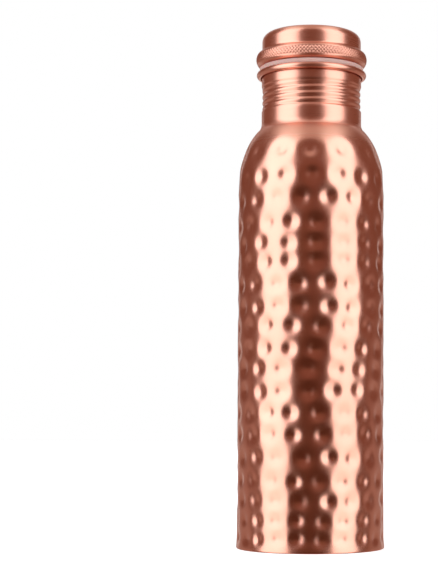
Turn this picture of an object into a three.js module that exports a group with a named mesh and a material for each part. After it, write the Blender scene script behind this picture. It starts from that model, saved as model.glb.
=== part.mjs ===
// A hammered copper water bottle with a screw cap.
// Millimetres, +Z up, origin on the axis at the face that the bottle stands on.
// The front of the bottle looks towards -Y.
import * as THREE from "three";

// --- Driving dimensions ---

const SEGMENTS = 32; // facets around every turned piece
const SHEET = 0.6; // copper sheet
const GAP = 0.3; // between pieces that touch

const BODY_RADIUS = 37.5;
const FOOT_RADIUS = 37.8;
const FOOT_HEIGHT = 6; // the wall narrows from the foot to the body over this height
const FOOT_CORNER = 1.2;
const HEM_INNER_RADIUS = 33.8; // edge of the foot, turned in under the base

const PAN_RIM_TOP = 6.5;
const PAN_STEP_RADIUS = 32.6; // where the base rises from its flange
const PAN_FLOOR_RADIUS = 30.8;
const PAN_FLOOR_Z = 4.4;
const PAN_CROWN = 1.2; // how far the middle of the base is pushed up

const SHOULDER_Z = 184.6; // where the wall starts to curve in
const SHOULDER_WIDTH = 23.5; // half axes of the shoulder's elliptical curve
const SHOULDER_HEIGHT = 35.4;
const SHOULDER_SEAM_RADIUS = 27.6; // where the shoulder meets the flare of the neck

const NECK_RADIUS = 25.75;
const FLARE_RADIUS = 4.8; // hollow round at the foot of the neck
const FLARE_TOP_Z = 217.4;
const FLARE_SWEEP = 0.827; // radians of that round
const FLARE_EDGE = 0.4; // thickness of the flare at its edge
const COLLAR_TOP_Z = 221; // collar of the shoulder, inside the neck

const BEAD_RADIUS = 1.6; // rolled lip
const BEAD_Z = 243.25;
const BEAD_END = -1.75; // radians: where the rolled edge stops

const PITCH = 3.15;
const THREAD_Z = 225.9; // height of the groove's middle at the +X side
const GROOVE_DEPTH = 0.95;
const GROOVE_HALF_WIDTH = 1.05;
const GROOVE_START = -0.45; // turns, counted from the +X side
const GROOVE_END = 3.2;
const THREAD_FADE = 0.25; // turns over which a thread runs in and out
const BAND_SINK = 0.35; // the threaded band is rolled in by this much
const BAND_LOW_Z = 223.9;
const BAND_HIGH_Z = 237.5;
const BAND_BLEND = 1.2;
const ROWS_PER_PITCH = 6;

const PLUG_RADIUS = 23.45;
const PLUG_THREAD_HEIGHT = 1.0;
const PLUG_THREAD_START = 0.1;
const PLUG_THREAD_END = 2.35;
const PLUG_BOTTOM_Z = 226;
const PLUG_FLANGE_RADIUS = 25.6;
const DISC_RECESS = 1.2;
const DISC_RIM = 2.4;

const CAP_BOTTOM_Z = 247.2;
const CAP_TOP_Z = 265.1;
const DRUM_RADIUS = 25.55;
const DRUM_CORNER = 4.6;
const RING_CENTRE_RADIUS = 24.95; // grip ring: half an ellipse around this circle
const RING_WIDTH = 3.75;
const RING_HALF_HEIGHT = 4.2;
const RING_FILLET_Z = 256.2; // top of the hollow round between ring and drum
const CAP_LIP_RADIUS = 24.1; // edge of the cap, turned in underneath

const GASKET_OUTER = 26.9;
const GASKET_INNER = 23.9;
const GASKET_ROUND = 0.4;

// --- Outline helpers: a point is (radius, height) ---

const point = (radius, height) => new THREE.Vector2(radius, height);

// Points on an ellipse around (r, z), from one angle to another.
function ellipse(r, z, width, height, from, to, steps) {
  return Array.from({ length: steps + 1 }, (_, i) => {
    const angle = from + ((to - from) * i) / steps;
    return point(r + width * Math.cos(angle), z + height * Math.sin(angle));
  });
}

const arc = (r, z, radius, from, to, steps) => ellipse(r, z, radius, radius, from, to, steps);

// A straight wall from one height to another, with rows fine enough for a thread.
function threadedWall(radius, from, to) {
  const rows = Math.round(Math.abs(to - from) / (PITCH / ROWS_PER_PITCH));
  return Array.from({ length: rows + 1 }, (_, i) => point(radius, from + ((to - from) * i) / rows));
}

// Turns an outline about the Z axis. The outline runs with the metal on its left.
function turned(outline) {
  const geometry = new THREE.LatheGeometry(outline, SEGMENTS);
  geometry.rotateX(Math.PI / 2);
  return geometry;
}

// Closes an outline that doesn't touch the axis.
const closed = (outline) => [...outline, outline[0].clone()];

// --- The thread ---

const smooth = (t) => THREE.MathUtils.smoothstep(t, 0, 1);

// 0 to 1: how strongly a right-handed helix passes through a point of the wall.
function helix(angle, z, baseZ, start, end) {
  const turn = THREE.MathUtils.euclideanModulo(angle / (2 * Math.PI), 1);
  let strength = 0;
  for (let k = Math.floor(start) - 1; k <= end; k++) {
    const along = k + turn;
    const offset = (z - baseZ - PITCH * along) / GROOVE_HALF_WIDTH;
    if (Math.abs(offset) < 1) {
      const fade = smooth((along - start) / THREAD_FADE) * smooth((end - along) / THREAD_FADE);
      strength = Math.max(strength, fade * 0.5 * (1 + Math.cos(Math.PI * offset)));
    }
  }
  return strength;
}

// Moves each vertex of a turned piece in or out by shift(angle, z, radius).
function shiftRadius(geometry, shift) {
  const position = geometry.getAttribute("position");
  for (let i = 0; i < position.count; i++) {
    const x = position.getX(i);
    const y = position.getY(i);
    const radius = Math.hypot(x, y);
    if (radius > 0) {
      const scale = 1 + shift(Math.atan2(y, x), position.getZ(i), radius) / radius;
      position.setXY(i, x * scale, y * scale);
    }
  }
  geometry.computeVertexNormals();
  return geometry;
}

// How far the wall of the neck is rolled in.
function neckShift(angle, z) {
  const band = smooth((z - BAND_LOW_Z) / BAND_BLEND) * smooth((BAND_HIGH_Z - z) / BAND_BLEND);
  return -BAND_SINK * band - GROOVE_DEPTH * helix(angle, z, THREAD_Z, GROOVE_START, GROOVE_END);
}

// The plug's thread runs half a pitch above the neck's, and stands out.
function plugShift(angle, z, radius) {
  if (radius < PLUG_RADIUS - SHEET / 2) return 0;
  const baseZ = THREAD_Z + PITCH / 2;
  return PLUG_THREAD_HEIGHT * helix(angle, z, baseZ, PLUG_THREAD_START, PLUG_THREAD_END);
}

// --- The bottle ---

// Points on the shoulder's curve, a sheet's thickness further in when inset is SHEET.
function shoulder(inset, endRadius, steps) {
  const centre = BODY_RADIUS - SHOULDER_WIDTH;
  const width = SHOULDER_WIDTH - inset;
  const end = Math.acos((endRadius - centre) / width);
  return ellipse(centre, SHOULDER_Z, width, SHOULDER_HEIGHT - inset, 0, end, steps);
}

// Points on the hollow round at the foot of the neck, from the top down.
// The surface lies startDepth below the visible one at the top and endDepth at the edge.
function flare(startDepth, endDepth, steps) {
  return Array.from({ length: steps + 1 }, (_, i) => {
    const radius = FLARE_RADIUS + startDepth + ((endDepth - startDepth) * i) / steps;
    const angle = Math.PI + (FLARE_SWEEP * i) / steps;
    return point(
      NECK_RADIUS + FLARE_RADIUS + radius * Math.cos(angle),
      FLARE_TOP_Z + radius * Math.sin(angle),
    );
  });
}

// Wall, shoulder and the foot that is turned in under the base.
function bodyShell() {
  const collarRadius = NECK_RADIUS - SHEET - GAP;
  const outside = [
    point(HEM_INNER_RADIUS, 0),
    ...arc(FOOT_RADIUS - FOOT_CORNER, FOOT_CORNER, FOOT_CORNER, -Math.PI / 2, 0, 3),
    point(BODY_RADIUS, FOOT_HEIGHT),
    ...shoulder(0, SHOULDER_SEAM_RADIUS, 10),
    ...flare(SHEET + GAP, FLARE_EDGE + GAP, 3).reverse(),
    point(collarRadius, COLLAR_TOP_Z),
  ];
  const inside = [
    point(collarRadius - SHEET, COLLAR_TOP_Z),
    ...flare(2 * SHEET + GAP, FLARE_EDGE + GAP + SHEET, 3),
    ...shoulder(SHEET, SHOULDER_SEAM_RADIUS + 1, 8).reverse(),
    point(BODY_RADIUS - SHEET, FOOT_HEIGHT),
    ...arc(FOOT_RADIUS - FOOT_CORNER, FOOT_CORNER, FOOT_CORNER - SHEET, 0, -Math.PI / 2, 2),
    point(HEM_INNER_RADIUS, SHEET),
  ];
  return turned(closed([...outside, ...inside]));
}

// Pressed base: a rim against the wall, a flange on the hem and a raised floor.
function basePan() {
  const rim = BODY_RADIUS - SHEET - GAP;
  const low = SHEET + GAP;
  const middle = PAN_FLOOR_RADIUS / 2;
  return turned([
    point(0, PAN_FLOOR_Z + PAN_CROWN),
    point(middle, PAN_FLOOR_Z + 0.75 * PAN_CROWN),
    point(PAN_FLOOR_RADIUS, PAN_FLOOR_Z),
    point(PAN_STEP_RADIUS, low + SHEET),
    point(PAN_STEP_RADIUS + SHEET, low),
    point(rim - SHEET, low),
    point(rim, low + SHEET),
    point(rim, PAN_RIM_TOP),
    point(rim - SHEET, PAN_RIM_TOP),
    point(rim - SHEET, low + 2 * SHEET),
    point(rim - 2 * SHEET, low + SHEET),
    point(PAN_STEP_RADIUS + 1.5 * SHEET, low + SHEET),
    point(PAN_STEP_RADIUS + SHEET / 2, low + 2 * SHEET),
    point(PAN_FLOOR_RADIUS + SHEET / 2, PAN_FLOOR_Z + SHEET),
    point(middle, PAN_FLOOR_Z + 0.75 * PAN_CROWN + SHEET),
    point(0, PAN_FLOOR_Z + PAN_CROWN + SHEET),
  ]);
}

// Tube with the rolled thread, the flare on the shoulder and the rolled lip.
function neck() {
  const inner = NECK_RADIUS - SHEET;
  const bead = inner + BEAD_RADIUS;
  const outline = [
    ...flare(0, 0, 4).reverse(),
    ...threadedWall(NECK_RADIUS, BAND_LOW_Z, BAND_HIGH_Z),
    ...arc(bead, BEAD_Z, BEAD_RADIUS - SHEET, Math.PI, BEAD_END, 8),
    ...arc(bead, BEAD_Z, BEAD_RADIUS, BEAD_END, Math.PI, 12),
    ...threadedWall(inner, BAND_HIGH_Z, BAND_LOW_Z),
    ...flare(SHEET, FLARE_EDGE, 3),
  ];
  return shiftRadius(turned(closed(outline)), neckShift);
}

// --- The cap ---

// Silicone washer on the lip, under the cap.
function gasket() {
  const low = BEAD_Z + BEAD_RADIUS + GAP;
  const high = CAP_BOTTOM_Z - GAP;
  const round = GASKET_OUTER - GASKET_ROUND;
  const outline = [
    point(GASKET_INNER, low),
    ...arc(round, low + GASKET_ROUND, GASKET_ROUND, -Math.PI / 2, 0, 2),
    ...arc(round, high - GASKET_ROUND, GASKET_ROUND, 0, Math.PI / 2, 2),
    point(GASKET_INNER, high),
  ];
  return turned(closed(outline));
}

// Points on the grip ring's bulge, between two angles of its ellipse.
function ring(inset, from, to, steps) {
  const z = CAP_BOTTOM_Z + RING_HALF_HEIGHT;
  return ellipse(RING_CENTRE_RADIUS, z, RING_WIDTH - inset, RING_HALF_HEIGHT - inset, from, to, steps);
}

// Drum with a round top corner and the grip ring, open underneath.
function capShell() {
  const corner = DRUM_RADIUS - DRUM_CORNER;
  const cornerZ = CAP_TOP_Z - DRUM_CORNER;
  const inside = [
    point(0, CAP_TOP_Z - SHEET),
    ...arc(corner, cornerZ, DRUM_CORNER - SHEET, Math.PI / 2, 0, 5),
    point(DRUM_RADIUS - SHEET, RING_FILLET_Z - SHEET),
    ...ring(SHEET, 0.6, -1.3, 8),
    point(CAP_LIP_RADIUS, CAP_BOTTOM_Z + SHEET),
  ];
  const outside = [
    point(CAP_LIP_RADIUS, CAP_BOTTOM_Z),
    ...ring(0, -1.3, 0.75, 12),
    point(DRUM_RADIUS + 0.85, RING_FILLET_Z - 1.2),
    point(DRUM_RADIUS + 0.2, RING_FILLET_Z - 0.6),
    point(DRUM_RADIUS, RING_FILLET_Z),
    ...arc(corner, cornerZ, DRUM_CORNER, 0, Math.PI / 2, 6),
    point(0, CAP_TOP_Z),
  ];
  return turned([...inside, ...outside]);
}

// Male-threaded tube, flanged inside the cap.
function threadPlug() {
  const inner = PLUG_RADIUS - SHEET;
  const flangeZ = CAP_BOTTOM_Z + SHEET + GAP;
  const threadTop = THREAD_Z + PITCH * (PLUG_THREAD_END + 1);
  const outline = [
    ...threadedWall(PLUG_RADIUS, PLUG_BOTTOM_Z, threadTop),
    point(PLUG_RADIUS, flangeZ - SHEET),
    point(PLUG_RADIUS + SHEET, flangeZ),
    point(PLUG_FLANGE_RADIUS, flangeZ),
    point(PLUG_FLANGE_RADIUS, flangeZ + SHEET),
    point(inner + SHEET, flangeZ + SHEET),
    point(inner, flangeZ),
    point(inner, PLUG_BOTTOM_Z),
  ];
  return shiftRadius(turned(closed(outline)), plugShift);
}

// Disc with a turned-up rim, set into the lower end of the plug.
function plugDisc() {
  const rim = PLUG_RADIUS - SHEET - GAP;
  const low = PLUG_BOTTOM_Z + DISC_RECESS;
  return turned([
    point(0, low),
    point(rim - SHEET, low),
    point(rim, low + SHEET),
    point(rim, low + DISC_RIM),
    point(rim - SHEET, low + DISC_RIM),
    point(rim - SHEET, low + 2 * SHEET),
    point(rim - 2 * SHEET, low + SHEET),
    point(0, low + SHEET),
  ]);
}

// --- Materials and assembly ---

const hammeredCopper = { color: 0xc8805f, roughness: 0.24, metalness: 1 };
const brushedCopper = { color: 0xc07a5a, roughness: 0.32, metalness: 1 };
const plainCopper = { color: 0xa8674c, roughness: 0.4, metalness: 1 };
const silicone = { color: 0xd9b8ad, roughness: 0.55, metalness: 0 };

function piece(name, geometry, look) {
  const mesh = new THREE.Mesh(geometry, new THREE.MeshStandardMaterial({ name, ...look }));
  mesh.name = name;
  return mesh;
}

const bottle = new THREE.Group();
bottle.add(
  piece("body_shell", bodyShell(), hammeredCopper),
  piece("base_pan", basePan(), plainCopper),
  piece("neck", neck(), brushedCopper),
);

const cap = new THREE.Group();
cap.add(
  piece("gasket", gasket(), silicone),
  piece("cap_shell", capShell(), brushedCopper),
  piece("thread_plug", threadPlug(), plainCopper),
  piece("plug_disc", plugDisc(), plainCopper),
);

const part = new THREE.Group();
part.add(bottle, cap);

export default part;
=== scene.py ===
import math

import bpy
import numpy as np
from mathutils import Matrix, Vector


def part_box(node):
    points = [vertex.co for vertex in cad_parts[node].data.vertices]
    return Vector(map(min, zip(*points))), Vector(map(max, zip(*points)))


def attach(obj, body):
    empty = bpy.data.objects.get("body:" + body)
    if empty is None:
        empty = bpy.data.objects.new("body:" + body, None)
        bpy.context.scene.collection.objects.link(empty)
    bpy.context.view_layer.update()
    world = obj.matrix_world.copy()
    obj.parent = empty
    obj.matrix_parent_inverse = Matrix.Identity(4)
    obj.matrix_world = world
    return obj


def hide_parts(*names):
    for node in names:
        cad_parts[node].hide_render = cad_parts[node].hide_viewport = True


# The hammered copper bottle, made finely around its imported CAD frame.
# Outlines are lists of (radius, height) in millimetres. Each is turned about the Z axis
# into one closed mesh, and the meshes are in metres.

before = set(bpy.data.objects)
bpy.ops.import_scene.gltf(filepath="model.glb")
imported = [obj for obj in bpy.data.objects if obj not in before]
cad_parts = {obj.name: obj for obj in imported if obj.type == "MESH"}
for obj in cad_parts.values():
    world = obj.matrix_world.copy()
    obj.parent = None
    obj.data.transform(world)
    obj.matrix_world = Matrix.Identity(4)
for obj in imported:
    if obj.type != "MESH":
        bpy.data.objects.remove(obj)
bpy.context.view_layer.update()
MM = 0.001


def corner(node, which):
    """Lowest (0) or highest (1) corner of a CAD node, in millimetres."""
    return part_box(node)[which] / MM


# --- Sizes taken from the frame ---

FOOT_RADIUS = corner("body_shell", 1).x
COLLAR_TOP = corner("body_shell", 1).z
PAN_RIM_TOP = corner("base_pan", 1).z
NECK_TOP = corner("neck", 1).z
GASKET_RADIUS = corner("gasket", 1).x
CAP_BOTTOM = corner("cap_shell", 0).z
CAP_TOP = corner("cap_shell", 1).z
RING_RADIUS = corner("cap_shell", 1).x
PLUG_BOTTOM = corner("thread_plug", 0).z
DISC_BOTTOM = corner("plug_disc", 0).z
DISC_TOP = corner("plug_disc", 1).z

# --- Sizes in millimetres, most of them the CAD source's too ---

SHEET = 0.6
GAP = 0.3
CLOSE = 0.03  # between brazed pieces, just enough to keep their surfaces apart

BODY_RADIUS = FOOT_RADIUS - 0.3
FOOT_HEIGHT = 6
FOOT_CORNER = 0.7
HEM_RADIUS = FOOT_RADIUS - 4
SHOULDER_Z = 184.6
SHOULDER_WIDTH = 23.5
SHOULDER_HEIGHT = 35.4

PAN_DOME_RADIUS = 400
PAN_DOME_TOP = 5.6
PAN_DOME_EDGE = 30
PAN_STEP = (29.6, 3.2)  # the middle of the round where the dome ends
PAN_STEP_RADIUS = 1.2
PAN_SLANT = 0.5  # radians, of the wall under that round
PAN_TROUGH = 33.4
PAN_CORNER = 1.0
PAN_FOLLOWS = (33.5, 2.5)  # the pan takes the wall's marks from this radius, over this width

NECK_RADIUS = 25.75
FLARE_RADIUS = 6.5  # the hollow round between neck and shoulder
FLARE_TOP = 217.83
FLARE_SWEEP = 0.56
FLARE_EDGE = 0.08  # the CAD holds 0.4, and the real seam is worked flush
SEAM_LAP = 0.04  # how far the shoulder runs under the neck's foot
SHOULDER_INSIDE_END = NECK_RADIUS + 2.85
BEAD_RADIUS = 1.6
BEAD_Z = NECK_TOP - BEAD_RADIUS
BEAD_END = -1.75
BEAD_SQUARED = (0.85, 0.95)  # powers below 1 make its upper face flatter than an arc

PITCH = 3.15
THREAD_Z = 225.6
THREAD_FADE = 0.25  # the part of a turn over which a thread's end fades
GROOVE_DEPTH = 0.52  # the CAD's is deeper, for clearance
GROOVE_HALF_WIDTH = 1.45
GROOVE_START, GROOVE_END = -0.45, 3.2  # in turns
RIDGE_HALF_WIDTH = 1.05
RIDGE_START, RIDGE_END = 0.1, 2.35
BAND_LOW, BAND_HIGH = 223.9, 237.5  # the threaded band is sunk a little
BAND_BLEND = 1.2
BAND_SINK = 0.35

GASKET_HOLE = 23.9
GASKET_INSET = 0.1
GASKET_RIM = 0.45
GASKET_SQUEEZE = 0.25  # how far it is pressed onto the lip
GASKET_CLEAR = 0.02

DRUM_RADIUS = 25.55
DRUM_CORNER = 4.6
RING_CENTRE = 24.95
RING_WIDTH = RING_RADIUS - RING_CENTRE
RING_HALF = 4.2
RING_FOOT, RING_TOP, RING_INSIDE_TOP = -1.3, 0.75, 0.6  # where its curve starts and ends
RING_FILLET_Z = 255.8
CAP_LIP = 24.1

PLUG_RADIUS = 23.45
FLANGE_RADIUS = 25.6
FLANGE_FILLET = 0.5
FLANGE_GAP = 0.05
DISC_CORNER = 0.9

# --- Fine detail ---

# Each row of hammer marks: its height, how many marks go round, and the azimuth in
# degrees, from the front, of one of them.
HAMMER_ROWS = (
    (6.8, 21, 8.5), (15.8, 20, 9), (25.4, 18, 13), (35.4, 19, 7), (46.8, 18, 14),
    (58.2, 18, 7), (68.5, 18, 5.5), (79.7, 18, 18), (90.6, 17, 20), (100.3, 18, 4),
    (111.8, 17, 8), (121.2, 18, 13.5), (132.8, 18, 12), (144.0, 17, 4), (153.2, 16, 3.5),
    (163.0, 18, 5), (175.4, 18, 12.5), (186.8, 17, 1), (199.8, 14, 0),
)
HAMMER_SIZE = 0.19  # spread of a mark, as a share of its step along the row
HAMMER_WIDEST = 14  # the longest step that still widens a mark
HAMMER_SLOPE = 0.225  # steepest slope inside a mark
HAMMER_JITTER = 0.9
HAMMER_LEVEL = 0.6  # jitter up and down, as a share of the jitter sideways
HAMMER_SPREADS = (0.92, 1.06)
HAMMER_DEPTHS = (0.88, 1.12)
HAMMER_REACH = 3.2  # spreads from its middle to where a mark is no longer felt
BELL_SLOPE = 0.607  # steepest slope of exp(-x * x / 2)
FOOT_CALM = 4.5  # the marks fade out towards the foot's edge below this height

KNURL_COUNT = 104  # diamonds around the ring
KNURL_PITCH = 2.0  # height of one diamond
KNURL_DEPTH = 0.29
KNURL_LOW, KNURL_HIGH = 249.0, 253.5
KNURL_FADE = 0.2
KNURL_RADIUS, KNURL_BLEND = RING_CENTRE + 1.2, 0.5  # only the ring's outer face is cut

BODY_SEGMENTS = 360
TURNED_SEGMENTS = 256
CAP_SEGMENTS = 10 * KNURL_COUNT
WALL_STEP = 0.66
THREAD_STEP = 0.21
SHARP = math.radians(48)

DOWN, OUT, UP, IN = -math.pi / 2, 0, math.pi / 2, math.pi  # directions from an arc's middle


# --- Outlines ---

def ellipse(r, z, width, height, start, end, steps):
    """Points on an ellipse around (r, z), from one angle to another."""
    angle = np.linspace(start, end, steps + 1)
    return [(r + width * math.cos(a), z + height * math.sin(a)) for a in angle]


def arc(r, z, radius, start, end, steps):
    return ellipse(r, z, radius, radius, start, end, steps)


def squared(r, z, radius, steps):
    """A quarter turn, from outermost to topmost, with a flatter face than an arc's."""
    out, up = BEAD_SQUARED
    angle = np.linspace(OUT, UP, steps + 1)
    return [(r + radius * math.cos(a) ** out, z + radius * math.sin(a) ** up) for a in angle]


def line(start, end, step):
    """Points from start up to, but not including, end."""
    length = math.dist(start, end)
    count = max(1, round(length / step))
    share = np.arange(count) / count
    return [tuple((1 - s) * np.array(start) + s * np.array(end)) for s in share]


def evenly(points, step):
    """The same path with points at even steps along it."""
    path = np.array(points, float)
    reach = np.concatenate([[0], np.cumsum(np.hypot(*np.diff(path, axis=0).T))])
    at = np.linspace(0, reach[-1], round(reach[-1] / step) + 1)
    return list(zip(np.interp(at, reach, path[:, 0]), np.interp(at, reach, path[:, 1])))


def bezier(pull, shares):
    """Points at some shares of the way along a cubic curve with four control points."""
    weights = [((1 - t) ** 3, 3 * t * (1 - t) ** 2, 3 * t**2 * (1 - t), t**3) for t in shares]
    return [tuple(sum(w * np.array(at) for w, at in zip(row, pull))) for row in weights]


def shoulder(inset, end_radius, steps):
    """The shoulder's curve, or the curve that lies inset inside it."""
    centre = BODY_RADIUS - SHOULDER_WIDTH
    width, height = SHOULDER_WIDTH - inset, SHOULDER_HEIGHT - inset
    end = math.acos((end_radius - centre) / width)
    return ellipse(centre, SHOULDER_Z, width, height, OUT, end, steps)


def flare(start_depth, end_depth, steps):
    """The hollow round at the neck's foot, from the top down, at a depth in the metal."""
    share = np.linspace(0, 1, steps + 1)
    radius = FLARE_RADIUS + start_depth + (end_depth - start_depth) * share
    angle = math.pi + FLARE_SWEEP * share
    r = NECK_RADIUS + FLARE_RADIUS + radius * np.cos(angle)
    z = FLARE_TOP + radius * np.sin(angle)
    return list(zip(r, z))


# --- Meshes ---

def turned(name, outline, segments, shape=None):
    """A closed mesh: the outline turned about Z.

    The outline runs with the metal on its left. It starts and ends on the axis, or it is
    a ring. shape(points, normals, angle) may move the points, which come as rows of the
    outline.
    """
    path = np.array(outline, float)
    on_axis = path[0, 0] < 1e-6
    angle = np.linspace(0, 2 * math.pi, segments, endpoint=False)
    rows = path[1:-1] if on_axis else path
    before = path[:-2] if on_axis else np.roll(path, 1, axis=0)
    after = path[2:] if on_axis else np.roll(path, -1, axis=0)
    tangent = after - before
    tangent /= np.hypot(tangent[:, 0], tangent[:, 1])[:, None]
    around = np.stack([np.cos(angle), np.sin(angle)], axis=1)
    points = np.empty((len(rows), segments, 3))
    points[..., :2] = rows[:, None, :1] * around
    points[..., 2] = rows[:, None, 1]
    normals = np.empty_like(points)
    normals[..., :2] = tangent[:, None, 1:] * around
    normals[..., 2] = -tangent[:, None, 0]
    if shape is not None:
        points = shape(points, normals, angle)

    index = np.arange(points.shape[0] * segments).reshape(points.shape[0], segments)
    low = index[:-1] if on_axis else index
    high = index[1:] if on_axis else np.roll(index, -1, axis=0)
    quads = np.stack([low, np.roll(low, -1, 1), np.roll(high, -1, 1), high], axis=-1)
    faces = quads.reshape(-1, 4).tolist()
    vertices = points.reshape(-1, 3)
    if on_axis:
        vertices = np.vstack([vertices, [0, 0, path[0, 1]], [0, 0, path[-1, 1]]])
        first, last = len(vertices) - 2, len(vertices) - 1
        for i in range(segments):
            j = (i + 1) % segments
            faces.append([first, int(index[0, j]), int(index[0, i])])
            faces.append([last, int(index[-1, i]), int(index[-1, j])])
    mesh = bpy.data.meshes.new(name)
    mesh.from_pydata((vertices * MM).tolist(), [], faces)
    mesh.validate()
    mesh.shade_smooth()
    mesh.set_sharp_from_angle(angle=SHARP)
    piece = bpy.data.objects.new(name, mesh)
    bpy.context.scene.collection.objects.link(piece)
    return piece


def smooth(t):
    t = np.clip(t, 0, 1)
    return t * t * (3 - 2 * t)


def helix(angle, z, base, start, end, half_width):
    """0 to 1: how strongly a right-handed helix passes through each point of a wall."""
    turn = angle / (2 * math.pi)
    strength = np.zeros(np.broadcast(angle, z).shape)
    for k in range(math.floor(start) - 1, math.ceil(end) + 1):
        along = k + turn
        offset = np.clip((z - base - PITCH * along) / half_width, -1, 1)
        fade = smooth((along - start) / THREAD_FADE) * smooth((end - along) / THREAD_FADE)
        strength = np.maximum(strength, fade * 0.5 * (1 + np.cos(math.pi * offset)))
    return strength


def grow(points, amount):
    """Moves points away from the axis by an amount in millimetres."""
    radius = np.hypot(points[..., 0], points[..., 1])
    points[..., :2] *= (1 + amount / radius)[..., None]
    return points


def hammered_wall():
    """The wall that carries the marks, from the foot's corner to the neck."""
    seam = NECK_RADIUS + FLARE_RADIUS * (1 - math.cos(FLARE_SWEEP)) - SEAM_LAP
    return [(FOOT_RADIUS, FOOT_CORNER), (BODY_RADIUS, FOOT_HEIGHT), *shoulder(0, seam, 400)]


def hammer_marks():
    """Each mark's middle, spread and depth: the rows, with a seeded jitter."""
    random = np.random.default_rng(11)
    wall = np.array(hammered_wall())
    marks = []
    for height, count, azimuth in HAMMER_ROWS:
        radius = np.interp(height, wall[:, 1], wall[:, 0])
        step = min(2 * math.pi * radius / count, HAMMER_WIDEST)
        for i in range(count):
            sideways, up = random.uniform(-HAMMER_JITTER, HAMMER_JITTER, 2)
            angle = math.radians(azimuth - 90) + 2 * math.pi * i / count + sideways / radius
            z = height + HAMMER_LEVEL * up
            r = np.interp(z, wall[:, 1], wall[:, 0])
            spread = HAMMER_SIZE * step * random.uniform(*HAMMER_SPREADS)
            depth = spread * HAMMER_SLOPE * random.uniform(*HAMMER_DEPTHS) / BELL_SLOPE
            marks.append((r * math.cos(angle), r * math.sin(angle), z, spread, depth))
    return marks


def hammer(points, normals, angle):
    """Presses the marks into every point of the shell, inside and outside alike."""
    heights = points[:, 0, 2]
    dent = np.zeros(points.shape[:2])
    for x, y, z, spread, depth in hammer_marks():
        near = np.where(np.abs(heights - z) < HAMMER_REACH * spread)[0]
        apart = ((points[near] - (x, y, z)) ** 2).sum(axis=-1) / spread**2
        dent[near] += depth * np.exp(-apart / 2)
    dent *= smooth(points[..., 2] / FOOT_CALM)
    outward = normals.copy()
    inside = (normals[..., :2] * points[..., :2]).sum(axis=-1) < 0
    outward[inside] *= -1
    return points - outward * dent[..., None]


def body_shell():
    collar = NECK_RADIUS - SHEET - GAP
    foot = FOOT_RADIUS - FOOT_CORNER
    wall = BODY_RADIUS - SHEET
    outside = [
        *line((HEM_RADIUS, 0), (foot, 0), 1),
        *arc(foot, FOOT_CORNER, FOOT_CORNER, DOWN, OUT, 6)[:-1],
        *evenly(hammered_wall(), WALL_STEP),
        *flare(SHEET + GAP, FLARE_EDGE + CLOSE, 8)[::-1],
        (collar, COLLAR_TOP),
    ]
    inside = [
        (collar - SHEET, COLLAR_TOP),
        *flare(2 * SHEET + GAP, FLARE_EDGE + GAP + SHEET, 8),
        *evenly(shoulder(SHEET, SHOULDER_INSIDE_END, 100)[::-1], 2),
        *line((wall, SHOULDER_Z - 2), (wall, FOOT_HEIGHT), 2),
        (wall, FOOT_HEIGHT),
        *arc(foot, FOOT_CORNER, FOOT_CORNER - SHEET, OUT, DOWN, 4),
        (HEM_RADIUS, SHEET),
    ]
    return turned("body_shell_fine", outside + inside, BODY_SEGMENTS, hammer)


def hammer_rim(points, normals, angle):
    """Lets the pan's rim follow the hammered wall around it."""
    start, width = PAN_FOLLOWS
    radius = np.hypot(points[..., 0], points[..., 1])
    share = smooth((radius - start) / width)[..., None]
    return points + (hammer(points, normals, angle) - points) * share


def base_pan():
    rim = BODY_RADIUS - SHEET - GAP
    corner_r, corner_z = rim - PAN_CORNER, SHEET + CLOSE + PAN_CORNER
    dome_z = PAN_DOME_TOP - PAN_DOME_RADIUS
    dome_end = UP - PAN_DOME_EDGE / PAN_DOME_RADIUS
    wall, flat = IN + PAN_SLANT, IN + UP
    lower = [
        *arc(0, dome_z, PAN_DOME_RADIUS, UP, dome_end, 12),
        *arc(*PAN_STEP, PAN_STEP_RADIUS, UP, PAN_SLANT, 5),
        *arc(PAN_TROUGH, corner_z, PAN_CORNER, wall, flat, 5),
        *arc(corner_r, corner_z, PAN_CORNER, DOWN, OUT, 5),
    ]
    upper = [
        (rim, PAN_RIM_TOP),
        (rim - SHEET, PAN_RIM_TOP),
        *arc(corner_r, corner_z, PAN_CORNER - SHEET, OUT, DOWN, 4),
        *arc(PAN_TROUGH, corner_z, PAN_CORNER - SHEET, flat, wall, 4),
        *arc(*PAN_STEP, PAN_STEP_RADIUS + SHEET, PAN_SLANT, UP, 5),
        *arc(0, dome_z + SHEET, PAN_DOME_RADIUS, dome_end, UP, 12),
    ]
    return turned("base_pan_fine", lower + upper, TURNED_SEGMENTS, hammer_rim)


def roll_neck(points, normals, angle):
    """Sinks the threaded band and rolls the thread's grooves into it."""
    z = points[..., 2]
    band = smooth((z - BAND_LOW) / BAND_BLEND) * smooth((BAND_HIGH - z) / BAND_BLEND)
    groove = helix(angle[None, :], z, THREAD_Z, GROOVE_START, GROOVE_END, GROOVE_HALF_WIDTH)
    return grow(points, -BAND_SINK * band - GROOVE_DEPTH * groove)


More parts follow.
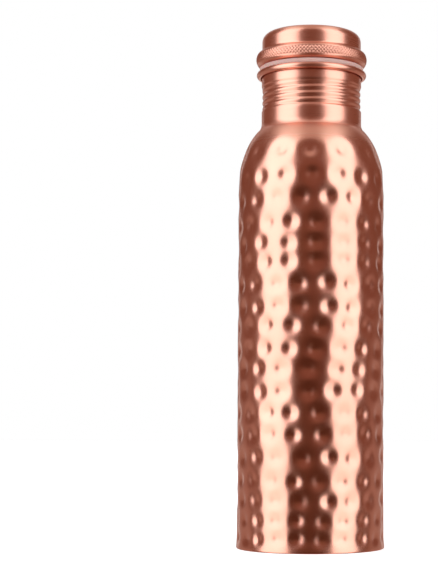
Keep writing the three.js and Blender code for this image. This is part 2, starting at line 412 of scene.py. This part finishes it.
def neck():
    inner = NECK_RADIUS - SHEET
    bead = inner + BEAD_RADIUS
    under_bead = 0.6
    outline = [
        *flare(0, 0, 16)[::-1],
        *line((NECK_RADIUS, FLARE_TOP + 1), (NECK_RADIUS, BAND_LOW), 1),
        *line((NECK_RADIUS, BAND_LOW), (NECK_RADIUS, BAND_HIGH), THREAD_STEP),
        *line((NECK_RADIUS, BAND_HIGH), (NECK_RADIUS, BEAD_Z), under_bead),
        *arc(bead, BEAD_Z, BEAD_RADIUS - SHEET, IN, BEAD_END, 16),
        *arc(bead, BEAD_Z, BEAD_RADIUS, BEAD_END, OUT, 16)[:-1],
        *squared(bead, BEAD_Z, BEAD_RADIUS, 14)[:-1],
        *arc(bead, BEAD_Z, BEAD_RADIUS, UP, IN, 10),
        *line((inner, BEAD_Z - under_bead), (inner, BAND_HIGH), 1),
        *line((inner, BAND_HIGH), (inner, BAND_LOW), THREAD_STEP),
        *line((inner, BAND_LOW), (inner, FLARE_TOP), 1),
        *flare(SHEET, FLARE_EDGE, 10),
    ]
    return turned("neck_fine", outline, TURNED_SEGMENTS, roll_neck)


def gasket():
    low = NECK_TOP - GASKET_SQUEEZE
    high = CAP_BOTTOM - GASKET_CLEAR
    rim = GASKET_RADIUS - GASKET_INSET - GASKET_RIM
    outline = [
        (GASKET_HOLE, low),
        *arc(rim, low + GASKET_RIM, GASKET_RIM, DOWN, OUT, 6),
        *arc(rim, high - GASKET_RIM, GASKET_RIM, OUT, UP, 6),
        (GASKET_HOLE, high),
    ]
    return turned("gasket_fine", outline, TURNED_SEGMENTS)


def ring(inset, start, end, steps):
    """The grip ring's bulging curve, at a depth in the metal."""
    z = CAP_BOTTOM + RING_HALF
    return ellipse(RING_CENTRE, z, RING_WIDTH - inset, RING_HALF - inset, start, end, steps)


def knurl(points, normals, angle):
    """Crossed spiral V cuts, pressed into the upper part of the grip ring."""
    z = points[..., 2]
    radius = np.hypot(points[..., 0], points[..., 1])
    facing = (normals[..., :2] * points[..., :2]).sum(axis=-1) / radius
    band = smooth((z - KNURL_LOW) / KNURL_FADE) * smooth((KNURL_HIGH - z) / KNURL_FADE)
    band *= smooth((radius - KNURL_RADIUS) / KNURL_BLEND) * (facing > 0)
    across = KNURL_COUNT * angle[None, :] / (2 * math.pi)
    up = z / KNURL_PITCH
    cuts = [np.abs(cut - np.round(cut)) for cut in (across + up, across - up)]
    height = 2 * np.minimum(*cuts)
    return points - normals * (KNURL_DEPTH * (1 - height) * band)[..., None]


def cap_shell():
    corner_r, corner_z = DRUM_RADIUS - DRUM_CORNER, CAP_TOP - DRUM_CORNER
    under_top = CAP_TOP - SHEET
    bulge = ring(0, RING_FOOT, RING_TOP, 120)
    top = np.array(bulge[-1])
    hollow = (
        top,
        top + (-0.5, 0.6),
        (DRUM_RADIUS, RING_FILLET_Z - 1),
        (DRUM_RADIUS, RING_FILLET_Z + 0.2),
    )
    drum_step = 0.8
    inside = [
        *line((0, under_top), (corner_r, under_top), 4),
        *arc(corner_r, corner_z, DRUM_CORNER - SHEET, UP, OUT, 8),
        (DRUM_RADIUS - SHEET, RING_FILLET_Z - SHEET),
        *ring(SHEET, RING_INSIDE_TOP, RING_FOOT, 14),
        (CAP_LIP, CAP_BOTTOM + SHEET),
    ]
    outside = [
        (CAP_LIP, CAP_BOTTOM),
        *evenly(bulge, KNURL_PITCH / 16),
        *bezier(hollow, np.linspace(0.08, 1, 12)),
        *line((DRUM_RADIUS, RING_FILLET_Z + drum_step), (DRUM_RADIUS, corner_z), drum_step),
        *arc(corner_r, corner_z, DRUM_CORNER, OUT, UP, 16),
        *line((corner_r - 0.4, CAP_TOP), (0, CAP_TOP), 2),
        (0, CAP_TOP),
    ]
    return turned("cap_shell_fine", inside + outside, CAP_SEGMENTS, knurl)


def raise_thread(points, normals, angle):
    """Raises the plug's thread, half a pitch away from the neck's grooves."""
    z = points[..., 2]
    outer = np.hypot(points[..., 0], points[..., 1]) > PLUG_RADIUS - SHEET / 2
    base = THREAD_Z + PITCH / 2
    ridge = helix(angle[None, :], z, base, RIDGE_START, RIDGE_END, RIDGE_HALF_WIDTH)
    return grow(points, ridge * outer)


def thread_plug():
    inner = PLUG_RADIUS - SHEET
    half = SHEET / 2
    flange = CAP_BOTTOM + SHEET + FLANGE_GAP
    fillet_r, fillet_z = PLUG_RADIUS + FLANGE_FILLET, flange - FLANGE_FILLET
    thread_top = THREAD_Z + PITCH * (RIDGE_END + 1)
    outline = [
        *arc(PLUG_RADIUS - half, PLUG_BOTTOM + half, half, -IN, OUT, 6),
        *line((PLUG_RADIUS, PLUG_BOTTOM + 0.5), (PLUG_RADIUS, thread_top), THREAD_STEP),
        *line((PLUG_RADIUS, thread_top), (PLUG_RADIUS, fillet_z), 1),
        *arc(fillet_r, fillet_z, FLANGE_FILLET, IN, UP, 4),
        (FLANGE_RADIUS, flange),
        (FLANGE_RADIUS, flange + SHEET),
        *arc(fillet_r, fillet_z, FLANGE_FILLET + SHEET, UP, IN, 5),
        *line((inner, flange - 1.5), (inner, PLUG_BOTTOM + 0.8), 3),
    ]
    return turned("thread_plug_fine", outline, TURNED_SEGMENTS, raise_thread)


def plug_disc():
    rim = PLUG_RADIUS - SHEET - CLOSE
    corner_r, corner_z = rim - DISC_CORNER, DISC_BOTTOM + DISC_CORNER
    upper = DISC_BOTTOM + SHEET
    outline = [
        *line((0, DISC_BOTTOM), (corner_r, DISC_BOTTOM), 2),
        *arc(corner_r, corner_z, DISC_CORNER, DOWN, OUT, 5),
        (rim, DISC_TOP),
        (rim - SHEET, DISC_TOP),
        *arc(corner_r, corner_z, DISC_CORNER - SHEET, OUT, DOWN, 3),
        *line((rim - 2, upper), (0, upper), 2),
        (0, upper),
    ]
    return turned("plug_disc_fine", outline, TURNED_SEGMENTS)


# --- Materials ---

class Nodes:
    """Short calls for adding and joining shader nodes."""

    def __init__(self, tree):
        self.tree = tree
        tree.nodes.clear()

    def add(self, kind, settings=None, **inputs):
        node = self.tree.nodes.new(kind)
        for key, value in (settings or {}).items():
            setattr(node, key, value)
        for key, value in inputs.items():
            self.set(node, key.replace("_", " "), value)
        return node

    def set(self, node, key, value):
        """Links or fills one input, named or numbered."""
        socket = node.inputs[key]
        if isinstance(value, bpy.types.NodeSocket):
            self.tree.links.new(value, socket)
        else:
            socket.default_value = value

    def math(self, operation, first, second=0.0):
        node = self.add("ShaderNodeMath", {"operation": operation})
        self.set(node, 0, first)
        self.set(node, 1, second)
        return node.outputs[0]

    def step(self, value, low, high):
        """0 below low, 1 above high, smooth between. It falls if high is below low."""
        node = self.add("ShaderNodeMapRange", {"interpolation_type": "SMOOTHSTEP"}, Value=value)
        ends = (low, high, 0.0, 1.0) if low < high else (high, low, 1.0, 0.0)
        for i, end in enumerate(ends, start=1):
            self.set(node, i, end)
        return node.outputs[0]

    def mix(self, share, first, second):
        """A colour between two, each given as three numbers or as an output."""
        node = self.add("ShaderNodeMix", {"data_type": "RGBA"})
        self.set(node, 0, share)
        for i, value in ((6, first), (7, second)):
            self.set(node, i, (*value, 1.0) if isinstance(value, tuple) else value)
        return node.outputs[2]

    def finish(self, shader, kind="ShaderNodeOutputMaterial"):
        self.set(self.add(kind), 0, shader.outputs[0])


def new_material(name):
    material = bpy.data.materials.new(name)
    material.use_nodes = True
    return material, Nodes(material.node_tree)


def noise(n, at, scale, detail, stretch=(1, 1, 1)):
    at = n.add("ShaderNodeMapping", Vector=at, Scale=stretch).outputs[0]
    return n.add("ShaderNodeTexNoise", Vector=at, Scale=scale, Detail=detail).outputs[0]


BRUSH_STRETCH = (60, 60, 5200)  # noise this much finer along Z reads as lines around the axis
WORN_FROM = (0.35, 0.7)
TARNISH_TINT = (0.6, 1.0, 1.1)
UNEVEN = 0.06  # how much the roughness wanders over the metal
LINED = 0.12  # and from one brushed line to the next
COPPER_RELIEF = 0.00002  # metres
SATIN_FROM = (0.204, 0.213)  # the heights where the shoulder's duller finish fades in
SATIN_TO = (0.2164, 0.2146)  # and out again at the neck's foot


def copper(name, tone, rough, brush, grain, tarnish, spread=0.0, satin=0.0):
    """Copper with lines brushed around the axis, a fine grain and a faint uneven tarnish.

    spread is how far the lines scatter light up and down, and satin how much rougher the
    shoulder is than the rest.
    """
    material, n = new_material(name)
    at = n.add("ShaderNodeTexCoord").outputs["Object"]
    cloud = noise(n, at, 28, 4)
    speck = noise(n, at, 900, 2)
    rings = noise(n, at, 1, 2, BRUSH_STRETCH)
    dark = tuple(c * (1 - tarnish * k) for c, k in zip(tone, TARNISH_TINT))
    colour = n.mix(n.step(cloud, *WORN_FROM), dark, tone)
    height = n.math("ADD", n.math("MULTIPLY", rings, brush), n.math("MULTIPLY", speck, grain))
    bump = n.add("ShaderNodeBump", Height=height, Distance=COPPER_RELIEF, Strength=1.0)
    varied = n.math(
        "ADD", n.math("MULTIPLY", cloud, UNEVEN), n.math("MULTIPLY", rings, LINED * brush)
    )
    roughness = n.math("ADD", varied, rough - (UNEVEN + LINED * brush) / 2)
    if satin:
        up = n.add("ShaderNodeSeparateXYZ", Vector=at).outputs[2]
        on_shoulder = n.math("MULTIPLY", n.step(up, *SATIN_FROM), n.step(up, *SATIN_TO))
        roughness = n.math("ADD", roughness, n.math("MULTIPLY", on_shoulder, satin))
    shader = n.add(
        "ShaderNodeBsdfPrincipled",
        Base_Color=colour, Metallic=1.0, Roughness=roughness, Normal=bump.outputs[0],
        Anisotropic=spread, Anisotropic_Rotation=0.25,
    )
    if spread:
        around = n.add("ShaderNodeTangent", {"direction_type": "RADIAL", "axis": "Z"})
        n.set(shader, "Tangent", around.outputs[0])
    n.finish(shader)
    return material


def silicone(name):
    material, n = new_material(name)
    at = n.add("ShaderNodeTexCoord").outputs["Object"]
    cloud = noise(n, at, 120, 3)
    speck = noise(n, at, 1500, 2)
    bump = n.add("ShaderNodeBump", Height=speck, Distance=0.00003, Strength=0.4)
    n.finish(n.add(
        "ShaderNodeBsdfPrincipled",
        Base_Color=n.mix(cloud, (0.56, 0.33, 0.28), (0.64, 0.40, 0.34)),
        Roughness=0.42, IOR=1.41, Normal=bump.outputs[0],
        Subsurface_Weight=0.2, Subsurface_Scale=0.003,
    ))
    return material


# --- Studio ---

# Each panel: middle and half width of its azimuth from the front, lowest and highest
# elevation in degrees, and colour. Positive azimuth is to the viewer's right.
PANELS = (
    (-59, 28, -60, 60, (2.1, 2.38, 2.65)),
    (56, 25, -60, 60, (2.0, 2.26, 2.5)),
    (-154, 4, -20, 60, (0.8, 0.8, 0.8)),
    (154, 4, -20, 60, (0.8, 0.8, 0.8)),
    (-180, 11, -50, 50, (0.8, 0.8, 0.8)),
    (180, 11, -50, 50, (0.8, 0.8, 0.8)),
)
PANEL_SIDE = 2.0  # half the width of a panel's soft edge
PANEL_FOOT, PANEL_HEAD = 4, 5  # the same at its ends
PANEL_TAPER = 0.14  # how much narrower a panel is below eye level
PANEL_FALL = (0.84, 0.80, 0.76)  # what is left of a panel's light near the floor

# Light from everywhere else. The pairs give where each step begins and ends: in degrees
# of elevation or of azimuth from the front, or for the banks in the share of the
# direction that points sideways.
ROOM = (0.217, 0.107, 0.075)
HAZE = (0.21, 0.10, 0.07)  # in front
PIT = (0.085, 0.034, 0.018)  # in front and low
GROUND = (0.40, 0.30, 0.27)  # behind and low
CEILING = (0.57, 0.49, 0.46)
OVERHEAD = (1.08, 1.22, 1.24)  # two banks under the ceiling, left and right
PAPER = (1.0, 1.0, 1.0, 1.0)  # what the camera itself sees
FRONT_WITHIN = (100, 80)
PIT_BELOW = (16, -8)
PIT_ENDS = (-32, -52)
GROUND_BEYOND = (92, 112)
GROUND_BELOW = (6, -4)
CEILING_FROM = (48, 58)
TAPER_BELOW = (14, 4)
FALL_BELOW = (12, -16)
BANKS_FROM, BANKS_TO = (0.16, 0.28), (0.70, 0.58)
OVERHEAD_FROM = (50, 64)


def studio():
    """Soft panels in a warm dim room, with white paper behind what the camera sees."""
    world = bpy.data.worlds.new("studio")
    bpy.context.scene.world = world
    world.use_nodes = True
    n = Nodes(world.node_tree)
    way = n.add("ShaderNodeTexCoord").outputs["Generated"]
    x, y, z = n.add("ShaderNodeSeparateXYZ", Vector=way).outputs
    azimuth = n.math("DEGREES", n.math("ARCTAN2", x, n.math("MULTIPLY", y, -1.0)))
    aside = n.math("ABSOLUTE", azimuth)
    sideways = n.math("ABSOLUTE", x)
    elevation = n.math("DEGREES", n.math("ARCSINE", z))

    def both(first, second):
        return n.math("MULTIPLY", first, second)

    front = n.step(aside, *FRONT_WITHIN)
    light = n.mix(front, ROOM, HAZE)
    light = n.mix(both(front, n.step(elevation, *PIT_BELOW)), light, PIT)
    light = n.mix(n.step(elevation, *PIT_ENDS), light, ROOM)
    back = n.step(aside, *GROUND_BEYOND)
    light = n.mix(both(back, n.step(elevation, *GROUND_BELOW)), light, GROUND)
    light = n.mix(n.step(elevation, *CEILING_FROM), light, CEILING)
    for middle, half, low, high, colour in PANELS:
        taper = both(n.step(elevation, *TAPER_BELOW), half * PANEL_TAPER)
        off = n.math("ABSOLUTE", n.math("SUBTRACT", azimuth, float(middle)))
        off = n.math("ADD", off, taper)
        across = n.step(off, half + PANEL_SIDE, half - PANEL_SIDE)
        up = both(
            n.step(elevation, low - PANEL_FOOT, low + PANEL_FOOT),
            n.step(elevation, high + PANEL_HEAD, high - PANEL_HEAD),
        )
        dim = tuple(c * share for c, share in zip(colour, PANEL_FALL))
        panel = n.mix(n.step(elevation, *FALL_BELOW), colour, dim)
        light = n.mix(both(across, up), light, panel)
    banks = both(n.step(sideways, *BANKS_FROM), n.step(sideways, *BANKS_TO))
    light = n.mix(both(banks, n.step(elevation, *OVERHEAD_FROM)), light, OVERHEAD)

    shown = n.add("ShaderNodeMixShader")
    n.set(shown, 0, n.add("ShaderNodeLightPath").outputs["Is Camera Ray"])
    for i, colour in ((1, light), (2, PAPER)):
        n.set(shown, i, n.add("ShaderNodeBackground", Color=colour, Strength=1.0).outputs[0])
    n.finish(shown, "ShaderNodeOutputWorld")


def floor():
    bpy.ops.mesh.primitive_plane_add(size=6)
    plane = bpy.context.object
    plane.name = "floor"
    plane.visible_glossy = False
    material, n = new_material("pale_floor")
    n.finish(n.add(
        "ShaderNodeBsdfPrincipled",
        Base_Color=(0.86, 0.86, 0.86, 1), Roughness=0.9,
        Emission_Color=(1, 1, 1, 1), Emission_Strength=0.6,
    ))
    plane.data.materials.append(material)


# The camera stands level with the lower body and looks up a little, from the bottle's front.
CAMERA_DISTANCE = 0.796
CAMERA_HEIGHT = 0.068
CAMERA_PITCH = math.radians(3)
CAMERA_ROLL = math.radians(0.17)
LENS = 98.0
SENSOR = 36
SHIFT = (-0.1608, 0.0859)


def camera():
    data = bpy.data.cameras.new("camera")
    data.lens = LENS
    data.sensor_width = SENSOR
    data.shift_x, data.shift_y = SHIFT
    data.clip_start = 0.01
    view = bpy.data.objects.new("camera", data)
    view.location = (0, -CAMERA_DISTANCE, CAMERA_HEIGHT)
    view.rotation_euler = (math.pi / 2 + CAMERA_PITCH, -CAMERA_ROLL, 0)
    bpy.context.scene.collection.objects.link(view)
    bpy.context.scene.camera = view


# --- Assembly ---

camera()
floor()
studio()
bpy.context.scene.view_settings.view_transform = "Standard"
bpy.context.scene.view_settings.look = "None"

HAMMERED = copper(
    "hammered_copper", (0.88, 0.40, 0.28),
    rough=0.24, brush=0.15, grain=0.35, tarnish=0.10, satin=0.11,
)
BRUSHED = copper(
    "brushed_copper", (0.90, 0.40, 0.28),
    rough=0.29, brush=0.7, grain=0.3, tarnish=0.08, spread=0.25, satin=0.11,
)
PLAIN = copper(
    "plain_copper", (0.84, 0.38, 0.26), rough=0.30, brush=0.5, grain=0.5, tarnish=0.2,
)
SILICONE = silicone("silicone")

PIECES = (
    (body_shell, "body_shell", "bottle", "hammered_copper", HAMMERED),
    (base_pan, "base_pan", "bottle", "plain_copper", PLAIN),
    (neck, "neck", "bottle", "brushed_copper", BRUSHED),
    (gasket, "gasket", "gasket", "silicone", SILICONE),
    (cap_shell, "cap_shell", "cap", "brushed_copper", BRUSHED),
    (thread_plug, "thread_plug", "cap", "plain_copper", PLAIN),
    (plug_disc, "plug_disc", "cap", "plain_copper", PLAIN),
)

for make, node, body, slot, material in PIECES:
    piece = make()
    piece.data.materials.append(material)
    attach(piece, body)
    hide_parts(node)
